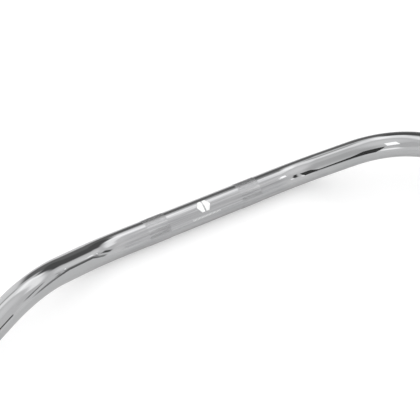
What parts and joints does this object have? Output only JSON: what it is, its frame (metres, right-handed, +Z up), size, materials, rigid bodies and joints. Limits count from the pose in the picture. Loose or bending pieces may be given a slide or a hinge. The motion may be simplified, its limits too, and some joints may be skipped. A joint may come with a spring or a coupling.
{
  "type": "motorcycle handlebar",
  "caption": "Chrome-plated steel motorcycle handlebar with a low rise, swept-back grips, knurled clamp bands and expanding bar-end plugs.",
  "frame": {"origin": "middle of the clamp section, on the tube's axis", "axes": "+X along the clamp section towards the right-hand grip, +Z up as the bar lies on its clamp bands and grip ends, -Y the way the grips point"},
  "size_m": [0.7552, 0.1324, 0.0567],
  "materials": {
    "chrome_tube": "polished bright chrome plate on steel",
    "chrome_cap": "polished bright chrome plate on turned steel",
    "black_rubber": "moulded, matt",
    "brass_nut": "turned",
    "steel_screw": "cold-forged stainless steel",
    "white_print": "pad-printed enamel ink"
  },
  "bodies": {
    "bar": {"bar_tube": "chrome_tube"},
    "plug_left": {"end_cap_left": "chrome_cap", "expander_rubber_left": "black_rubber"},
    "screw_left": {"cap_screw_left": "steel_screw"},
    "nut_left": {"cone_nut_left": "brass_nut"},
    "plug_right": {"end_cap_right": "chrome_cap", "expander_rubber_right": "black_rubber"},
    "screw_right": {"cap_screw_right": "steel_screw"},
    "nut_right": {"cone_nut_right": "brass_nut"}
  },
  "joints": [
    {"name": "plug_left_pull", "type": "slide", "parent": "bar", "child": "plug_left", "axis": [-0.9023, -0.3938, -0.1753], "range_m": [0, 0.05]},
    {"name": "screw_left_turn", "type": "hinge", "parent": "plug_left", "child": "screw_left", "pos_m": [-0.3712, -0.11074, -0.00044], "axis": [-0.9023, -0.3938, -0.1753], "range_deg": [0, 1080]},
    {"name": "nut_left_travel", "type": "slide", "parent": "plug_left", "child": "nut_left", "axis": [0.9023, 0.3938, 0.1753], "range_m": [0, 0.003]},
    {"name": "plug_right_pull", "type": "slide", "parent": "bar", "child": "plug_right", "axis": [0.9023, -0.3938, -0.1753], "range_m": [0, 0.05]},
    {"name": "screw_right_turn", "type": "hinge", "parent": "plug_right", "child": "screw_right", "pos_m": [0.3712, -0.11074, -0.00044], "axis": [0.9023, -0.3938, -0.1753], "range_deg": [0, 1080]},
    {"name": "nut_right_travel", "type": "slide", "parent": "plug_right", "child": "nut_right", "axis": [-0.9023, 0.3938, 0.1753], "range_m": [0, 0.003]}
  ],
  "couplings": [
    {"joint": "screw_left_turn", "follows": "nut_left_travel", "rad_per_m": 6283.2},
    {"joint": "screw_right_turn", "follows": "nut_right_travel", "rad_per_m": 6283.2}
  ]
}
